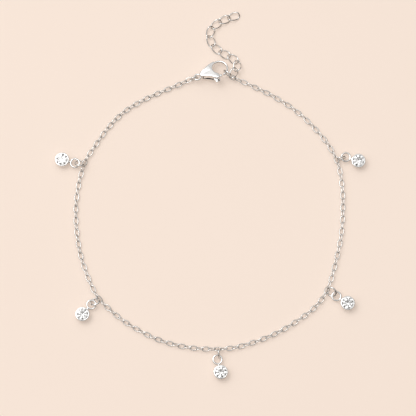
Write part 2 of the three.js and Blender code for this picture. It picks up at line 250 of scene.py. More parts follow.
# Studio: card, soft box and room
FLOOR_SIZE = 3.0
FLOOR_LIGHT = (0.58, 0.491, 0.427)
FLOOR_DARK = (0.574, 0.485, 0.421)
FLOOR_STOPS = [(0.3, FLOOR_DARK), (0.7, FLOOR_LIGHT)]
FLOOR_GRAIN = 25
FLOOR_ROUGHNESS = 0.95
FLOOR_SHEEN = 0.1
FLOOR_GLOW = 0.65
KEY_PLACE = (-0.4, 0.27, 0.87)
KEY_SIZE = 0.6
KEY_POWER = 3.6
ROOM_LIGHT = 1.1
ROOM_LEAN = (-0.22, 0.2, 0.955)
ROOM_STOPS = [
    (0.0, (0.06, 0.05, 0.045)), (0.4, (0.08, 0.07, 0.065)), (0.68, (0.88, 0.87, 0.86)),
    (1.0, (1.0, 1.0, 1.0)),
]
HOOD_STOPS = [(0.965, (1.0, 1.0, 1.0)), (0.985, (0.10, 0.09, 0.08))]


def unit(vectors):
    """Each vector over its own length."""
    return vectors / np.linalg.norm(vectors, axis=-1, keepdims=True)


def heading(angle):
    """The level direction at an angle in degrees, anticlockwise from +X."""
    return np.array([math.cos(math.radians(angle)), math.sin(math.radians(angle)), 0.0])


def catmull_rom(before, start, end, after, t):
    """The uniform Catmull-Rom cubic from p at t = 0 to q at t = 1, which is
    p + v t + (3 (q - p) - 2 v - w) t^2 + (2 (p - q) + v + w) t^3, where the speeds v and w are
    half the steps between each point's neighbours."""
    v, w = (end - before) / 2, (after - start) / 2
    square = 3 * (end - start) - 2 * v - w
    cube = 2 * (start - end) + v + w
    return start + v * t + square * t**2 + cube * t**3


class Path:
    """A smooth line through a few points, read by the share of its length. It is a Catmull-Rom
    line whose ends carry on straight."""

    def __init__(self, points, divisions):
        points = np.asarray(points, float)
        self.points = np.vstack([2 * points[0] - points[1], points, 2 * points[-1] - points[-2]])
        self.spans = len(points) - 1
        self.turns = np.linspace(0, 1, divisions + 1)
        steps = np.linalg.norm(np.diff(self.raw(self.turns), axis=0), axis=1)
        self.reach = np.concatenate([[0], np.cumsum(steps)])
        self.length = self.reach[-1]

    def raw(self, turn):
        place = np.clip(turn, 0, 1) * self.spans
        span = np.minimum(place.astype(int), self.spans - 1)
        t = (place - span)[..., None]
        return catmull_rom(*(self.points[span + n] for n in range(4)), t)

    def turn_at(self, share):
        return np.interp(np.asarray(share, float) * self.length, self.reach, self.turns)

    def at(self, share):
        return self.raw(self.turn_at(share))

    def way(self, share, step=1e-4):
        turn = self.turn_at(share)
        return unit(self.raw(turn + step) - self.raw(turn - step))


def axes(along, normal):
    """Rows x, y and z with x along one direction and z as near the other as it can be."""
    x = unit(along)
    y = unit(np.cross(normal, x))
    return np.stack([x, y, np.cross(x, y)], axis=-2)


class Form:
    """Points, four-cornered faces and any many-cornered caps of a closed form."""

    def __init__(self, points, quads, caps=()):
        self.points = points
        self.quads = quads
        self.caps = list(caps)

    def __add__(self, other):
        count = len(self.points)
        points = np.vstack([self.points, other.points])
        quads = np.vstack([self.quads, other.quads + count])
        return Form(points, quads, self.caps + [[count + n for n in cap] for cap in other.caps])

    def moved(self, step):
        return Form(self.points + np.asarray(step, float), self.quads, self.caps)

    def laid(self, place, along, normal):
        return Form(self.points @ axes(along, normal) + place, self.quads, self.caps)

    def copies(self, places, alongs, normals):
        """A copy at each place, turned by x along and z near the normal, all in one form."""
        points = np.einsum("mk,nkj->nmj", self.points, axes(alongs, normals)) + places[:, None]
        starts = len(self.points) * np.arange(len(places))
        return Form(points.reshape(-1, 3), (self.quads + starts[:, None, None]).reshape(-1, 4))


def grid_faces(rows, columns, closed_rows=False):
    """Faces between the neighbours of a grid of points whose columns run round and close."""
    strips = rows if closed_rows else rows - 1
    row, column = np.meshgrid(np.arange(strips), np.arange(columns), indexing="ij")
    below, beside = (row + 1) % rows, (column + 1) % columns
    corners = [row * columns + column, row * columns + beside, below * columns + beside]
    return np.stack([*corners, below * columns + column], axis=-1).reshape(-1, 4)


def section(sides, fullness=2.0):
    """Cosine and sine round a section, each to the power 2 / fullness with its sign kept: a
    circle at 2 and squarer above it."""
    turn = 2 * math.pi * np.arange(sides) / sides
    cosine, sine = np.cos(turn), np.sin(turn)
    power = 2 / fullness
    return np.sign(cosine) * np.abs(cosine) ** power, np.sign(sine) * np.abs(sine) ** power


def wire_loop(a, b, wire, steps, sides, twist=0.0, bulge=0.0):
    """A closed wire. Its centre line is (a cos t, b sin t), pushed outwards by bulge sin^2 2t of
    itself, and rises by twist sin 2t. The section is a circle square to it."""
    turn = 2 * math.pi * np.arange(steps) / steps
    swell = 1 + bulge * np.sin(2 * turn) ** 2
    x, y = a * np.cos(turn) * swell, b * np.sin(turn) * swell
    centre = np.stack([x, y, twist * np.sin(2 * turn)], axis=1)
    tangent = unit(np.roll(centre, -1, axis=0) - np.roll(centre, 1, axis=0))
    side = unit(np.cross(tangent, UP))
    over = np.cross(side, tangent)
    cosine, sine = section(sides)
    points = centre[:, None] + wire / 2 * (
        side[:, None] * cosine[:, None] + over[:, None] * sine[:, None]
    )
    return Form(points.reshape(-1, 3), grid_faces(steps, sides, closed_rows=True))


def bar(line, length, rounding, steps, sides, half_width, half_height, normal=UP, fullness=2.0):
    """A bar along line(s): round each place goes side * half_width * cos + over * half_height *
    sin, and both sizes grow from nothing as a quarter circle over the rounding at each end."""
    turn = np.linspace(0, math.pi / 2, END_ROUNDS)[:-1]
    end = rounding * (1 - np.cos(turn))
    distance = np.concatenate(
        [end, np.linspace(rounding, length - rounding, steps), (length - end)[::-1]]
    )
    size = np.concatenate([np.sin(turn), np.ones(steps), np.sin(turn)[::-1]])
    centre = line(distance)
    side = unit(np.cross(unit(np.gradient(centre, axis=0)), normal))
    over = unit(np.cross(side, np.gradient(centre, axis=0)))
    cosine, sine = section(sides, fullness)
    wide = (size * half_width(distance / length))[:, None, None] * cosine[:, None]
    high = (size * half_height(distance / length))[:, None, None] * sine[:, None]
    points = centre[:, None] + side[:, None] * wide + over[:, None] * high
    return Form(points.reshape(-1, 3), grid_faces(len(distance), sides))


def arc(radius, start, end, centre=(0.0, 0.0)):
    """The line of a bar along a level circle from one angle to another, in degrees, and its
    length."""
    sweep = math.radians(end - start)

    def line(distance):
        angle = math.radians(start) + math.copysign(1, sweep) * distance / radius
        x, y = centre[0] + radius * np.cos(angle), centre[1] + radius * np.sin(angle)
        return np.stack([x, y, np.zeros_like(angle)], axis=1)

    return line, abs(sweep) * radius


def split_ring(radius, wire, split=SPLIT_HEADING):
    """A jump ring: a round bar along a circle that stops short of a whole turn by the split."""
    opening = math.degrees(SPLIT_GAP / radius)
    line, length = arc(radius, split + opening, split + 360)
    ends = wire * RING_END_SHARE
    return bar(line, length, ends, RING_STEPS, RING_SIDES, lambda s: wire / 2, lambda s: wire / 2)


def lathe(profile, segments):
    """A profile of (radius, height) carried round the z axis."""
    turn = 2 * math.pi * np.arange(segments) / segments
    radius, height = (column[:, None] for column in np.asarray(profile, float).T)
    x, y = radius * np.cos(turn), radius * np.sin(turn)
    points = np.stack([x, y, np.broadcast_to(height, x.shape)], axis=-1)
    return Form(points.reshape(-1, 3), grid_faces(len(profile), segments))


def filleted(corners, steps=6):
    """A line through corners (x, y, cut): each is rounded by the curve (1-t)^2 P + 2t(1-t) C +
    t^2 Q between the points P and Q that lie a cut away on its two sides."""
    places = np.array([corner[:2] for corner in corners], float)
    cuts = np.array([corner[2] for corner in corners])[1:-1, None, None]
    t = np.linspace(0, 1, steps)[:, None]
    before = places[1:-1] + cuts[:, 0] * unit(places[:-2] - places[1:-1])
    after = places[1:-1] + cuts[:, 0] * unit(places[2:] - places[1:-1])
    corner = places[1:-1, None]
    curve = (1 - t) ** 2 * before[:, None] + 2 * t * (1 - t) * corner + t**2 * after[:, None]
    return np.vstack([places[:1], curve.reshape(-1, 2), places[-1:]])


def closed_outline(shares, per_side):
    """A closed outline in the clasp's frame: a Catmull-Rom line, as Path's is, through the
    shares' points."""
    corners = in_clasp(shares)
    wrapped = np.vstack([corners[-1:], corners, corners[:2]])
    t = np.linspace(0, 1, per_side, endpoint=False)[:, None]
    before, start, end, after = (wrapped[n : n + len(corners), None] for n in range(4))
    return catmull_rom(before, start, end, after, t).reshape(-1, 2)


def in_clasp(shares):
    """Shares of the body's length and of the hook's radius as places in the clasp's frame."""
    return np.asarray(shares, float) * (BODY_LENGTH, HOOK_RADIUS) + (TAIL_RADIUS, 0)


def level(points, height):
    """Flat points at one height."""
    return np.column_stack([points, np.full(len(points), height)])


def plate(outline, thickness, edge=0.0, rounds=5):
    """A plate whose rim is a half round: the outline moves in along its own normals by
    edge (1 - cos) as the height grows by edge sin, and flat caps close it."""
    following = np.roll(outline, -1, axis=0)
    tangent = following - np.roll(outline, 1, axis=0)
    inwards = unit(np.column_stack([-tangent[:, 1], tangent[:, 0]]))
    area = np.sum(outline[:, 0] * following[:, 1] - outline[:, 1] * following[:, 0])
    inwards *= math.copysign(1, area)
    turn = np.linspace(0, math.pi / 2, rounds if edge else 1)
    inset = np.concatenate([(edge * (1 - np.cos(turn)))[::-1], edge * (1 - np.cos(turn))])
    flat = thickness / 2 - edge
    height = np.concatenate([(-flat - edge * np.sin(turn))[::-1], flat + edge * np.sin(turn)])
    points = np.concatenate([level(outline + d * inwards, h) for d, h in zip(inset, height)])
    count = len(outline)
    caps = [list(range(count))[::-1], [len(points) - count + k for k in range(count)]]
    return Form(points, grid_faces(len(height), count), caps)


def disc(radius, depth, sides, place):
    """A round post that stands on a place in the clasp's frame."""
    turn = 2 * math.pi * np.arange(sides) / sides
    rim = np.column_stack([np.cos(turn), np.sin(turn)]) * radius + np.asarray(place)
    return plate(rim, depth)


def link_form(pitch):
    """One cable link that is just long enough to lock with the next at that pitch."""
    length = pitch + 2 * LINK_WIRE + LINK_PLAY
    return wire_loop(
        (length - LINK_WIRE) / 2, (LINK_WIDTH - LINK_WIRE) / 2, LINK_WIRE, CHAIN_STEPS,
        CHAIN_SIDES, bulge=LINK_BULGE,
    )


def chain_run(route, first, last, heights, draws):
    """The links between two fixed ones: an odd number, every other one rolled up on edge, with
    small random rolls and yaws. The rolls count from the camera's direction, because the
    photograph shows the same two faces of the links all round the loop. Their heights ease to
    those of the fixed links."""
    reach = (last - first) * route.length
    pitches = 2 * math.ceil(reach / (2 * LINK_PITCH_MOST))
    number = np.arange(1, pitches)
    share = first + (last - first) * number / pitches
    on_edge = number % 2 == 1
    places = route.at(share)
    height = np.where(on_edge, EDGE_LINK_HEIGHT, FLAT_LINK_HEIGHT)
    for end, away in zip(heights, (number, pitches - number)):
        height = height + (end - height) * np.clip(1 - away / CLIMB_LINKS, 0, 1)
    places[:, 2] = height
    tangent = route.way(share)
    yaw = np.radians(draws.uniform(-LINK_YAW_SPREAD, LINK_YAW_SPREAD, len(number)))[:, None]
    sideways = np.cross(UP, tangent)
    along = tangent * np.cos(yaw) + sideways * np.sin(yaw)
    flat_roll, edge_roll = LINK_ROLLS
    spread = draws.uniform(-LINK_ROLL_SPREAD, LINK_ROLL_SPREAD, len(number))
    lean = (90 - CAMERA_ELEVATION) * sideways[:, 1]
    roll = np.radians(np.where(on_edge, edge_roll, flat_roll) + spread - lean)
    normal = UP * np.cos(roll)[:, None] + np.cross(UP, along) * np.sin(roll)[:, None]
    return link_form(reach / pitches).copies(places, along, normal)


def bezel_cup():
    """The cup as a turned profile with rounded corners: foot, wall, lip over the stone, seat."""
    girdle = BEZEL_HEIGHT - STONE_SUNK
    mouth = STONE_RADIUS - BEZEL_LIP + STONE_GAP
    seat = STONE_RADIUS + STONE_GAP
    seat_foot = girdle - STONE_PAVILION - 2 * STONE_GAP
    corners = [
        (0, 0, 0), (BEZEL_FOOT_RADIUS, 0, FOOT_CUT), (BEZEL_RADIUS, BEZEL_BASE, BASE_CUT),
        (BEZEL_RADIUS, BEZEL_HEIGHT, RIM_CUT), (mouth, BEZEL_HEIGHT, LIP_CUT),
        (mouth, BEZEL_HEIGHT - BEZEL_LIP_DEPTH, UNDER_LIP_CUT),
        (seat, girdle + GIRDLE_HEIGHT + STONE_GAP, SEAT_CUT), (seat, girdle - STONE_GAP, SEAT_CUT),
        (SEAT_FOOT_RADIUS, seat_foot, FOOT_CUT), (0, seat_foot, 0),
    ]
    return lathe(filleted(corners), CUP_SEGMENTS)


def charm_setting():
    """Soldered ring about the origin, the neck and the cup, in that order along +x."""
    height = BEZEL_HEIGHT / 2
    ring = wire_loop(SOLDERED_RADIUS, SOLDERED_RADIUS, SOLDERED_WIRE, RING_STEPS, RING_SIDES)
    start = SOLDERED_RADIUS + SOLDERED_WIRE / 2 - NECK_BURY
    length = NECK_LENGTH + 2 * NECK_BURY

    def line(distance):
        beside = np.zeros_like(distance)
        return np.stack([start + distance, beside, beside + height], axis=1)

    def flared(size):
        return lambda s: size / 2 * (1 + (NECK_FLARE - 1) * (2 * s - 1) ** 2)

    neck = bar(
        line, length, NECK_ROUNDING, NECK_STEPS, NECK_SIDES, flared(NECK_WIDTH),
        flared(NECK_DEPTH), fullness=NECK_FULLNESS,
    )
    return ring.moved((0, 0, height)) + neck + bezel_cup().moved((cup_reach(), 0, 0))


def cup_reach():
    """From the soldered ring's middle to the cup's."""
    return BEZEL_RADIUS + NECK_LENGTH + SOLDERED_RADIUS + SOLDERED_WIRE / 2


def brilliant():
    """A round brilliant with its girdle's foot at z = 0, as points and flat facets.

    A kite's plane holds its corners on the table and the girdle, so a point on it at radius r
    and 22.5 degrees from the kite's middle lies at crown * (R - r cos 22.5) / (R - table) above
    the girdle. A pavilion main holds the culet and a girdle corner in the same way.
    """
    eighth = math.pi / 4
    slant = math.cos(eighth / 2)
    table, star, lower = (share * STONE_RADIUS for share in (STONE_TABLE, STONE_STAR, STONE_LOWER))
    star_rise = STONE_CROWN * (STONE_RADIUS - star * slant) / (STONE_RADIUS - table)
    lower_fall = -STONE_PAVILION * (1 - lower * slant / STONE_RADIUS)

    def circle(radius, count, offset, height):
        turn = 2 * math.pi * np.arange(count) / count + offset
        return np.stack([radius * np.cos(turn), radius * np.sin(turn), np.full(count, height)], 1)

    points = np.vstack([
        circle(table, 8, 0, GIRDLE_HEIGHT + STONE_CROWN),
        circle(star, 8, eighth / 2, GIRDLE_HEIGHT + star_rise),
        circle(STONE_RADIUS, 16, 0, GIRDLE_HEIGHT),
        circle(STONE_RADIUS, 16, 0, 0),
        circle(lower, 8, eighth / 2, lower_fall),
        [[0, 0, -STONE_PAVILION]],
    ])
    stars, rim, belt, lowers, culet = 8, 16, 32, 48, 56
    facets = [list(range(8))]
    for k in range(8):
        following, before = (k + 1) % 8, (k - 1) % 8
        near, middle, far = 2 * k, 2 * k + 1, (2 * k + 2) % 16
        facets += [
            [k, stars + k, following],
            [k, stars + before, rim + near, stars + k],
            [stars + k, rim + near, rim + middle],
            [stars + k, rim + middle, rim + far],
            [rim + near, belt + near, belt + middle, rim + middle],
            [rim + middle, belt + middle, belt + far, rim + far],
            [belt + near, lowers + k, belt + middle],
            [belt + middle, lowers + k, belt + far],
            [belt + near, lowers + before, culet, lowers + k],
        ]
    return points, facets


def clasp_hook():
    """The hook: a bar along its circle whose outer side stays on one circle as it thins out."""
    line, length = arc(1, HOOK_START, HOOK_END)
    widths = np.array(HOOK_WIDTHS)

    def thick(sizes):
        return lambda s: (sizes[0] + (sizes[1] - sizes[0]) * s) / 2

    def centred(distance):
        radius = HOOK_OUTER_RADIUS - thick(widths)(distance / length)
        return line(distance) * radius[:, None] + (*hook_centre(), 0)

    return bar(
        centred, length, HOOK_ROUNDING, HOOK_STEPS, HOOK_SIDES, thick(widths),
        thick(HOOK_DEPTHS), fullness=HOOK_FULLNESS,
    )


def hook_centre():
    """The middle of the hook's circle in the clasp's frame."""
    return (TAIL_RADIUS + BODY_LENGTH + HOOK_SETBACK, -HOOK_DROP)


def body_dome():
    """The clasp's pear-shaped body. From the rim to the middle, the outline shrinks towards a
    point by q = cos^(2/n) and rises by sin^(2/n) of the half thickness, n being the fullness;
    the half thickness at the rim eases from the tail's to the belly's along the body."""
    outline = closed_outline(BODY_OUTLINE, BODY_SIDE_STEPS)
    middle = in_clasp(BODY_MIDDLE)
    turn = np.linspace(-math.pi / 2, math.pi / 2, 2 * BODY_RINGS + 1)
    power = 2 / BODY_FULLNESS
    shrink = np.abs(np.cos(turn)) ** power
    rise = np.sign(turn) * np.abs(np.sin(turn)) ** power
    shrink[[0, -1]] = 0
    along = np.clip((outline[:, 0] - TAIL_RADIUS) / (BODY_LENGTH * BODY_TAPER), 0, 1)
    tail = BODY_TAIL_THICKNESS / CLASP_THICKNESS
    ease = tail + (1 - tail) * np.sin(along * math.pi / 2)
    height = rise[:, None] * CLASP_THICKNESS / 2 * (1 - (1 - ease) * shrink[:, None])
    flat = middle + (outline - middle) * shrink[:, None, None]
    points = np.concatenate([flat, height[..., None]], axis=-1)
    return Form(points.reshape(-1, 3), grid_faces(len(turn), len(outline)))


def crease_line():
    """The crease's two ends, the way along it and the way across it towards the hook."""
    start, end = in_clasp(CREASE_SHARES)
    along = unit(end - start)
    return start, end, along, np.array([-along[1], along[0]])


def facet_wedge(side):
    """What a facet takes off one side of the body: a long prism of three edges, the crease, and
    two beyond it, one that falls by a share of the distance across and one that stands high."""
    start, end, along, across = crease_line()
    reach = 2 * HOOK_RADIUS
    top = CLASP_THICKNESS / 2
    profile = [(0, top), (reach, top - reach * CREASE_FALL), (reach, 2 * CLASP_THICKNESS)]
    points = np.array([
        [*(place + away * across), side * height]
        for place in (start - reach * along, end + reach * along) for away, height in profile
    ])
    sides = np.array([[0, 1, 4, 3], [1, 2, 5, 4], [2, 0, 3, 5]])
    return Form(points, sides, [[0, 2, 1], [3, 4, 5]])


def closed_mesh(name, points, faces, merge=1e-5):
    """A mesh with its doubled points merged and its faces turned outwards."""
    mesh = bpy.data.meshes.new(name)
    mesh.from_pydata(points, [], faces)
    shape = bmesh.new()
    shape.from_mesh(mesh)
    bmesh.ops.remove_doubles(shape, verts=shape.verts, dist=merge)
    bmesh.ops.recalc_face_normals(shape, faces=shape.faces)
    shape.to_mesh(mesh)
    shape.free()
    return mesh


def mesh_of(name, form):
    """A form as a mesh."""
    return closed_mesh(name, form.points, form.quads.tolist() + form.caps)


def cast(name, form, steps):
    """A casting: forms are joined to or cut from the first one, and the result is meshed anew in
    small even faces and smoothed, which rounds its edges as casting and polishing do."""

    def standing(part):
        made = bpy.data.objects.new(name, mesh_of(name, part))
        bpy.context.collection.objects.link(made)
        return made

    base = standing(form)
    tools = [standing(part) for part, _ in steps]
    for tool, (_, operation) in zip(tools, steps):
        modifier = base.modifiers.new(operation, "BOOLEAN")
        modifier.operation = operation
        modifier.solver = "EXACT"
        modifier.object = tool
    even = base.modifiers.new("even", "REMESH")
    even.mode = "VOXEL"
    even.voxel_size = CAST_VOXEL
    polish = base.modifiers.new("polish", "SMOOTH")
    polish.factor = CAST_POLISH
    polish.iterations = CAST_SMOOTHING
    graph = bpy.context.evaluated_depsgraph_get()
    finished = bpy.data.meshes.new_from_object(base.evaluated_get(graph))
    for spent in [base, *tools]:
        bpy.data.objects.remove(spent)
    return finished


def move_points(mesh, change):
    """Puts each point of a mesh where the change takes it."""
    points = np.empty(3 * len(mesh.vertices))
    mesh.vertices.foreach_get("co", points)
    mesh.vertices.foreach_set("co", change(points.reshape(-1, 3)).ravel())
    mesh.update()


class Socket:
    """A value in a material's nodes, with the operators that its sums use."""

    def __init__(self, finish, end):
        self.finish = finish
        self.end = end

    def sum(self, operation, first, second):
        """A node that works out one operation on two values."""
        return self.finish.node("ShaderNodeMath", {"operation": operation}, {0: first, 1: second})

    def __add__(self, other):
        return self.sum("ADD", self, other)

    def __mul__(self, other):
        return self.sum("MULTIPLY", self, other)

    __radd__ = __add__
    __rmul__ = __mul__


class Finish:
    """A node tree, of a material or of the world, that is filled in by node()."""

    def __init__(self, owner):
        self.owner = owner
        owner.use_nodes = True
        self.tree = owner.node_tree
        self.tree.nodes.clear()

    def node(self, kind, settings=None, sockets=None, output=0):
        """A node of a type, with its settings made first and then its sockets' values or links."""
        made = self.tree.nodes.new(kind)
        for name, value in (settings or {}).items():
            if name == "stops":
                self.set_stops(made.color_ramp, value)
            else:
                setattr(made, name, value)
        for name, value in (sockets or {}).items():
            if isinstance(value, Socket):
                self.tree.links.new(value.end, made.inputs[name])
            else:
                made.inputs[name].default_value = value
        return Socket(self, made.outputs[output]) if made.outputs else None

    @staticmethod
    def set_stops(ramp, stops):
        """Gives a colour ramp its stops. It starts with two of them."""
        for place, _ in stops[2:]:
            ramp.elements.new(place)
        for element, (place, colour) in zip(ramp.elements, sorted(stops)):
            element.position = place
            element.color = (*colour, 1)

    def ramp(self, factor, *stops):
        """The colour that a factor has between stops of (place, colour)."""
        return self.node("ShaderNodeValToRGB", {"stops": list(stops)}, {"Fac": factor})

    def noise(self, scale, detail=3.0, roughness=0.5):
        """Noise on the piece's own coordinates, its scale in repeats for each metre."""
        place = self.node("ShaderNodeTexCoord", output="Object")
        return self.node(
            "ShaderNodeTexNoise", None,
            {"Vector": place, "Scale": scale, "Detail": detail, "Roughness": roughness},
        )

    def mix(self, blend, factor, first, second):
        """Two colours mixed by a factor in one of Blender's blends."""
        return self.node(
            "ShaderNodeMix", {"data_type": "RGBA", "blend_type": blend},
            {"Factor": factor, 6: first, 7: second}, output=2,
        )

    def vector(self, operation, first, second, output=0):
        """A vector operation on two values."""
        return self.node(
            "ShaderNodeVectorMath", {"operation": operation}, {0: first, 1: second}, output
        )

    def along(self, place, direction, start, end):
        """How far a place in metres has gone along a direction, from 0 at the start to 1 at the
        end, both in millimetres."""
        reach = self.vector("DOT_PRODUCT", place, direction, "Value")
        ends = {"From Min": start * MM, "From Max": end * MM}
        return self.node("ShaderNodeMapRange", None, {"Value": reach, **ends})

    def surface(self, shader, kind="ShaderNodeOutputMaterial"):
        """Puts a shader on the output node and gives the material or the world."""
        self.node(kind, None, {"Surface": shader})
        return self.owner


def silver(name, shade_and_tarnish=None):
    """Polished silver of the table: colour and gloss drift between two values in soft patches, a
    finer noise adds hair marks to the gloss, and slow dents bend the reflections. The optional
    function of the finish says where painted shade darkens the colour, over dull oxidised walls."""
    look = dict(zip(SILVER_COLUMNS, SILVER_ROWS[name]))
    finish = Finish(bpy.data.materials.new(name))
    patches = finish.noise(look["grain"] * PATCH_GRAIN, detail=4)
    marks = finish.noise(look["grain"] * MARK_GRAIN, detail=2, roughness=0.7)
    wear = patches * (1 - MARK_SHARE) + marks * MARK_SHARE
    dull_from, bright_from = PATCH_STOPS
    colour = finish.ramp(patches, (dull_from, look["dull"]), (bright_from, look["bright"]))
    # Painted shade: where the function says, the colour turns near black, over dull oxidised walls
    if shade_and_tarnish:
        colour = finish.mix("MIX", shade_and_tarnish(finish), colour, (*SLOT_SHADE_AND_TARNISH, 1.0))
    dents = finish.noise(look["grain"], detail=1)
    bump = finish.node(
        "ShaderNodeBump", None,
        {"Height": dents, "Distance": look["dents"] * MM, "Strength": 1.0},
    )
    return finish.surface(finish.node("ShaderNodeBsdfPrincipled", None, {
        "Base Color": colour, "Metallic": 1.0, "Normal": bump,
        "Roughness": look["smooth"] + (look["worn"] - look["smooth"]) * wear,
    }))


def slot_shade_and_tarnish(finish):
    """Where shade is painted in the clasp's slot, over its dull oxidised walls: 1 on the walls of
    the slot and 0 on its outer sides. It is a product of steps in the clasp's frame: past the
    tail, below the spine, short of the crease and between the two cheeks, whose inner sides lie
    half the slot's width from the middle plane."""
    place = finish.node("ShaderNodeTexCoord", output="Object")
    place = finish.vector("SUBTRACT", place, (clasp_place + shift) * MM)
    slot = in_clasp(SLOT_OUTLINE)
    spine = unit(slot[2] - slot[0])
    below = np.array([spine[1], -spine[0]])
    crease_start, _, _, across = crease_line()
    tail, top, fold = slot[0][0], slot[1] @ below, crease_start @ across
    cheek = SLOT_WIDTH / 2
    steps = [
        (clasp_axes[0], tail - SLOT_SHADE_EDGE, tail),
        (below @ clasp_axes[:2], top - 2 * SLOT_SHADE_EDGE, top - SLOT_SHADE_EDGE),
        (across @ clasp_axes[:2], fold + 3 * SLOT_SHADE_EDGE, fold + SLOT_SHADE_EDGE),
        (clasp_axes[2], cheek + SLOT_SHADE_EDGE, cheek),
        (-clasp_axes[2], cheek + SLOT_SHADE_EDGE, cheek),
    ]
    factor = 1.0
    for step in steps:
        factor = factor * finish.along(place, *step)
    return factor


def clear_stone(name):
    """Clear cut stone: glass of a high index with the faintest warm tint."""
    finish = Finish(bpy.data.materials.new(name))
    tint = finish.ramp(finish.noise(STONE_GRAIN), *STONE_TINTS)
    return finish.surface(finish.node("ShaderNodeBsdfPrincipled", None, {
        "Base Color": tint, "Roughness": 0.0, "IOR": STONE_INDEX, "Transmission Weight": 1.0,
    }))


def card_finish(name):
    """Matt pale peach card with a trace of mottling. It is lit from below as well, as on a light
    table, which keeps the shadows faint."""
    finish = Finish(bpy.data.materials.new(name))
    colour = finish.ramp(finish.noise(FLOOR_GRAIN, detail=5), *FLOOR_STOPS)
    return finish.surface(finish.node("ShaderNodeBsdfPrincipled", None, {
        "Base Color": colour, "Roughness": FLOOR_ROUGHNESS, "Specular IOR Level": FLOOR_SHEEN,
        "Emission Color": (*FLOOR_LIGHT, 1.0), "Emission Strength": FLOOR_GLOW,
    }))


def show(node, mesh, finish, body="anklet", crease=WIRE_CREASE):
    """A finished piece in place of a node of the same body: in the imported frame's metres,
    shaded smooth but for edges that turn by more than the crease."""
    move_points(mesh, lambda points: (points + shift) * MM)
    mesh.materials.clear()
    mesh.materials.append(finish)
    mesh.shade_smooth()
    mesh.set_sharp_from_angle(angle=math.radians(crease))
    made = bpy.data.objects.new(f"fine_{node}", mesh)
    bpy.context.collection.objects.link(made)
    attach(made, body)
    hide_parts(node)


def box_middle(node):
    """The middle of a node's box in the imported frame, in millimetres."""
    low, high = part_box(node)
    return (np.array(low) + np.array(high)) / 2 / MM


def middle_of(node):
    """The middle of a node's box in the drawing's frame, which is the node's own middle for a
    ring, a link and the pin."""
    return box_middle(node) - shift


def to_camera():
    """The way from the photograph's floor to the camera."""
    lean = math.radians(CAMERA_ELEVATION)
    return np.array([0, -math.cos(lean), math.sin(lean)])


def place_camera():
    """The camera looks at the middle of the photograph's floor from its elevation."""
    target = (np.array([*FLOOR_MIDDLE, 0.0]) + shift) * MM
    data = bpy.data.cameras.new("camera")
    data.sensor_width = SENSOR
    data.lens = SENSOR * CAMERA_DISTANCE / (PHOTO_PIXELS * PIXEL)
    data.clip_start, data.clip_end = CAMERA_CLIP
    camera = bpy.data.objects.new("camera", data)
    camera.location = target + CAMERA_DISTANCE * MM * to_camera()
    camera.rotation_euler = (math.radians(90 - CAMERA_ELEVATION), 0, 0)
    bpy.context.collection.objects.link(camera)
    bpy.context.scene.camera = camera


def lay_floor():
    """A square of card under the anklet."""
    span = FLOOR_SIZE / 2
    corners = [(-span, -span, 0), (span, -span, 0), (span, span, 0), (-span, span, 0)]
    card = bpy.data.meshes.new("floor")
    card.from_pydata(corners, [], [(0, 1, 2, 3)])
    card.materials.append(card_finish("peach card"))
    floor = bpy.data.objects.new("floor", card)
    bpy.context.collection.objects.link(floor)


def hang_key_light():
    """One square soft box at the upper left, turned to the loop's middle."""
    data = bpy.data.lights.new("key", "AREA")
    data.size = KEY_SIZE
    data.energy = KEY_POWER
    lamp = bpy.data.objects.new("key", data)
    lamp.location = KEY_PLACE
    away = unit(np.array(KEY_PLACE))
    lamp.rotation_euler = (math.acos(away[2]), 0, math.atan2(away[1], away[0]) + math.pi / 2)
    bpy.context.collection.objects.link(lamp)


def light_room():
    """A room that is light overhead and dark towards the horizon and round the camera, which
    gives the silver its darker sides. Each shade runs with the cosine of the angle from its own
    direction, and the two are multiplied."""
    world = bpy.data.worlds.new("room")
    bpy.context.scene.world = world
    room = Finish(world)
    way = room.node("ShaderNodeTexCoord", output="Generated")

    def shade(direction, stops):
        return room.ramp(room.vector("DOT_PRODUCT", way, direction, "Value"), *stops)

    overhead, hood = shade(ROOM_LEAN, ROOM_STOPS), shade(to_camera(), HOOD_STOPS)
    colour = room.mix("MULTIPLY", 1.0, overhead, hood)
    light = room.node("ShaderNodeBackground", None, {"Color": colour, "Strength": ROOM_LIGHT})
    room.surface(light, "ShaderNodeOutputWorld")


def lay_chain():
    """The runs between the fixed links, then the first and the last link, which climb towards
    the rings that they hold."""
    draws = np.random.default_rng(DRAWS_SEED)
    stations = [0, *[charm["station"] for charm in CHARMS], 1]
    ends = [middle_of(node)[2] for node in ("chain_end_link_1", "chain_end_link_2")]
    heights = [ends[0], *[CHARM_LINK_HEIGHT] * len(CHARMS), ends[1]]
    for k in range(len(stations) - 1):
        run = chain_run(route, stations[k], stations[k + 1], heights[k : k + 2], draws)
        show(f"chain_run_{k + 1}", mesh_of("run", run), chain_silver)
    tilt = math.radians(CHARM_LINK_PITCH)
    for node, share, sense in [("chain_end_link_1", 0, -1), ("chain_end_link_2", 1, 1)]:
        along = sense * route.way(share) * math.cos(tilt) + UP * math.sin(tilt)
        link = fixed_link.laid(middle_of(node), along, UP)
        show(node, mesh_of(node, link), chain_silver)


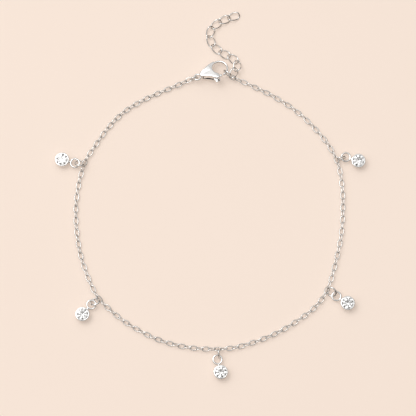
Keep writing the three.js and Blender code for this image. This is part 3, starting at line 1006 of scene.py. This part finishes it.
def lay_charm_ring(number, station, ring_heading, lean):
    """A charm's leaning jump ring and the chain's link that it passes through. The ring stands
    on the floor and swings about the link's middle. Gives the place of the ring's middle."""
    outward = heading(ring_heading)
    lean = math.radians(lean)
    link_place = route.at(station) * (1, 1, 0) + CHARM_LINK_HEIGHT * UP
    ring_rise = JUMP_RADIUS * math.cos(lean)
    swing = math.asin((ring_rise + JUMP_WIRE / 2 + FLOOR_GAP - CHARM_LINK_HEIGHT) / ring_rise)
    ring_up = np.cross(UP, outward) * math.sin(lean) + UP * math.cos(lean)
    to_ring = outward * math.cos(swing) + ring_up * math.sin(swing)
    ring_place = link_place + to_ring * JUMP_RADIUS
    ring = split_ring(JUMP_RADIUS, JUMP_WIRE).laid(ring_place, outward, np.cross(outward, ring_up))
    show(f"charm_jump_ring_{number}", mesh_of("ring", ring), ring_silver)

    wire_way = ring_up * math.cos(swing) - outward * math.sin(swing)
    tangent = route.way(station)
    pitch = np.sign(wire_way @ tangent) * min(math.radians(CHARM_LINK_PITCH), lean)
    along = tangent * math.cos(pitch) - UP * math.sin(pitch)
    link = fixed_link.laid(link_place, along, wire_way)
    show(f"charm_link_{number}", mesh_of("link", link), chain_silver)
    return ring_place


def lay_cup(number, ring_place, reach, reach_heading, cup_heading):
    """A charm's setting with its stone, its soldered ring a reach away from the jump ring."""
    cup_way = heading(cup_heading)
    base = (ring_place + heading(reach_heading) * reach) * (1, 1, 0)
    setting = charm_setting().laid(base, cup_way, UP)
    show(f"charm_setting_{number}", mesh_of("setting", setting), cast_silver)
    seat = base + cup_way * cup_reach() + UP * (BEZEL_HEIGHT - STONE_SUNK)
    points, facets = brilliant()
    stone = closed_mesh("stone", points @ axes(cup_way, UP) + seat, facets)
    show(f"charm_stone_{number}", stone, stone_glass, crease=FACET_CREASE)


def lay_clasp():
    """The clasp's body, its lever on the body that the joint moves, and the pin."""
    pivot = in_clasp(PIVOT_SHARES)
    bore = PIN_RADIUS + PIN_CLEARANCE
    bore_depth = SLOT_WIDTH + 2 * PIN_SEAT + 2 * PIN_CLEARANCE
    tail_ring = wire_loop(TAIL_RADIUS, TAIL_RADIUS, TAIL_WIRE, RING_STEPS, RING_SIDES)
    body_steps = [
        (disc(HOOK_HOLE_RADIUS, 2 * CLASP_THICKNESS, HOLE_SIDES, hook_centre()), "DIFFERENCE"),
        (facet_wedge(1), "DIFFERENCE"),
        (facet_wedge(-1), "DIFFERENCE"),
        (clasp_hook(), "UNION"),
        (tail_ring, "UNION"),
        (plate(in_clasp(SLOT_OUTLINE), SLOT_WIDTH), "DIFFERENCE"),
        (disc(bore, bore_depth, PIN_SIDES, pivot), "DIFFERENCE"),
    ]
    lever_outline = closed_outline(LEVER_OUTLINE, LEVER_SIDE_STEPS)
    lever_plate = plate(lever_outline, SLOT_WIDTH - 2 * LEVER_CLEARANCE, LEVER_EDGE)
    lever_steps = [(disc(bore, 2 * SLOT_WIDTH, PIN_SIDES, pivot), "DIFFERENCE")]
    pin = disc(PIN_RADIUS, SLOT_WIDTH + 2 * PIN_SEAT, PIN_SIDES, pivot)
    for node, mesh, finish, body in [
        ("clasp_body", cast("body", body_dome(), body_steps), clasp_silver, "anklet"),
        ("clasp_lever", cast("lever", lever_plate, lever_steps), cast_silver, "lever"),
        ("clasp_pin", mesh_of("pin", pin), cast_silver, "anklet"),
    ]:
        move_points(mesh, lambda points: points @ clasp_axes + clasp_place)
        show(node, mesh, finish, body=body, crease=CAST_CREASE)


def lay_fastening_rings():
    """The ring from the clasp's tail to the chain, and the one that the hook closes on."""
    tail_way = unit((route.at(0) - clasp_place) * (1, 1, 0))
    for node, radius, wire, way in [
        ("clasp_jump_ring", TAIL_JUMP_RADIUS, TAIL_JUMP_WIRE, tail_way),
        ("end_jump_ring", END_RING_RADIUS, JUMP_WIRE, heading(END_RING_HEADING)),
    ]:
        ring = split_ring(radius, wire).laid(middle_of(node), way, np.cross(way, UP))
        show(node, mesh_of(node, ring), ring_silver)


def lay_extender():
    """The extender's links, a pitch apart on a path from the end ring's outer side."""
    hold = math.radians(EXTENDER_HOLD_ANGLE)
    to_hold = heading(END_RING_HEADING) * math.cos(hold) + UP * math.sin(hold)
    lying = EXTENDER_TWIST + EXTENDER_WIRE / 2 + FLOOR_GAP
    heights = [lying + EXTENDER_SECOND_RISE] + [lying] * (len(EXTENDER_ROUTE) - 1)
    places = [[x, y, z] for (x, y), z in zip(EXTENDER_ROUTE, heights)]
    start = middle_of("end_jump_ring") + END_RING_RADIUS * to_hold
    path = Path([start, *places], EXTENDER_DIVISIONS)
    length = EXTENDER_PITCH + 2 * EXTENDER_WIRE + EXTENDER_SLACK
    link = wire_loop(
        (length - EXTENDER_WIRE) / 2, (EXTENDER_WIDTH - EXTENDER_WIRE) / 2, EXTENDER_WIRE,
        EXTENDER_STEPS, EXTENDER_SIDES, EXTENDER_TWIST, EXTENDER_BULGE,
    )
    first_reach = length / 2 - EXTENDER_WIRE - JUMP_WIRE / 2 - EXTENDER_SLACK / 4
    for k in range(EXTENDER_COUNT):
        reach = first_reach + k * EXTENDER_PITCH
        near, place, far = (
            path.at(np.clip((reach + step) / path.length, 0, 1))
            for step in (-EXTENDER_PITCH / 2, 0, EXTENDER_PITCH / 2)
        )
        node = f"extender_link_{k + 1}"
        show(node, mesh_of(node, link.laid(place, far - near, UP)), ring_silver)


# From the drawing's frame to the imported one, by the chain's first link
shift = box_middle("chain_end_link_1") * (1, 1, 0) - np.array([*CHAIN_ROUTE[0], 0])
last_place = middle_of("chain_end_link_2")
route = Path([[x, y, LINK_WIDTH / 2] for x, y in [*CHAIN_ROUTE, last_place[:2]]], ROUTE_DIVISIONS)
fixed_link = wire_loop(
    (LINK_LENGTH - LINK_WIRE) / 2, (LINK_WIDTH - LINK_WIRE) / 2, LINK_WIRE, 2 * CHAIN_STEPS,
    CHAIN_SIDES + 4, bulge=LINK_BULGE,
)
# The clasp's axes u, v and up, and the place of its tail ring's middle
clasp_heading, clasp_roll = heading(CLASP_HEADING), math.radians(CLASP_ROLL)
clasp_normal = UP * math.cos(clasp_roll) + np.cross(UP, clasp_heading) * math.sin(clasp_roll)
clasp_axes = axes(clasp_heading, clasp_normal)
clasp_place = middle_of("clasp_pin") - in_clasp(PIVOT_SHARES) @ clasp_axes[:2]

bpy.context.scene.view_settings.view_transform = "Standard"
place_camera()
lay_floor()
hang_key_light()
light_room()

chain_silver = silver("drawn silver wire")
ring_silver = silver("polished silver ring")
cast_silver = silver("cast silver")
# The clasp's silver carries painted shade, over dull oxidised walls, inside its slot
clasp_silver = silver("clasp silver", slot_shade_and_tarnish)
stone_glass = clear_stone("cut stone")

lay_chain()
for number, charm in enumerate(CHARMS, 1):
    ring_place = lay_charm_ring(number, charm["station"], charm["ring_heading"], charm["lean"])
    lay_cup(number, ring_place, charm["reach"], charm["reach_heading"], charm["cup_heading"])
lay_clasp()
lay_fastening_rings()
lay_extender()
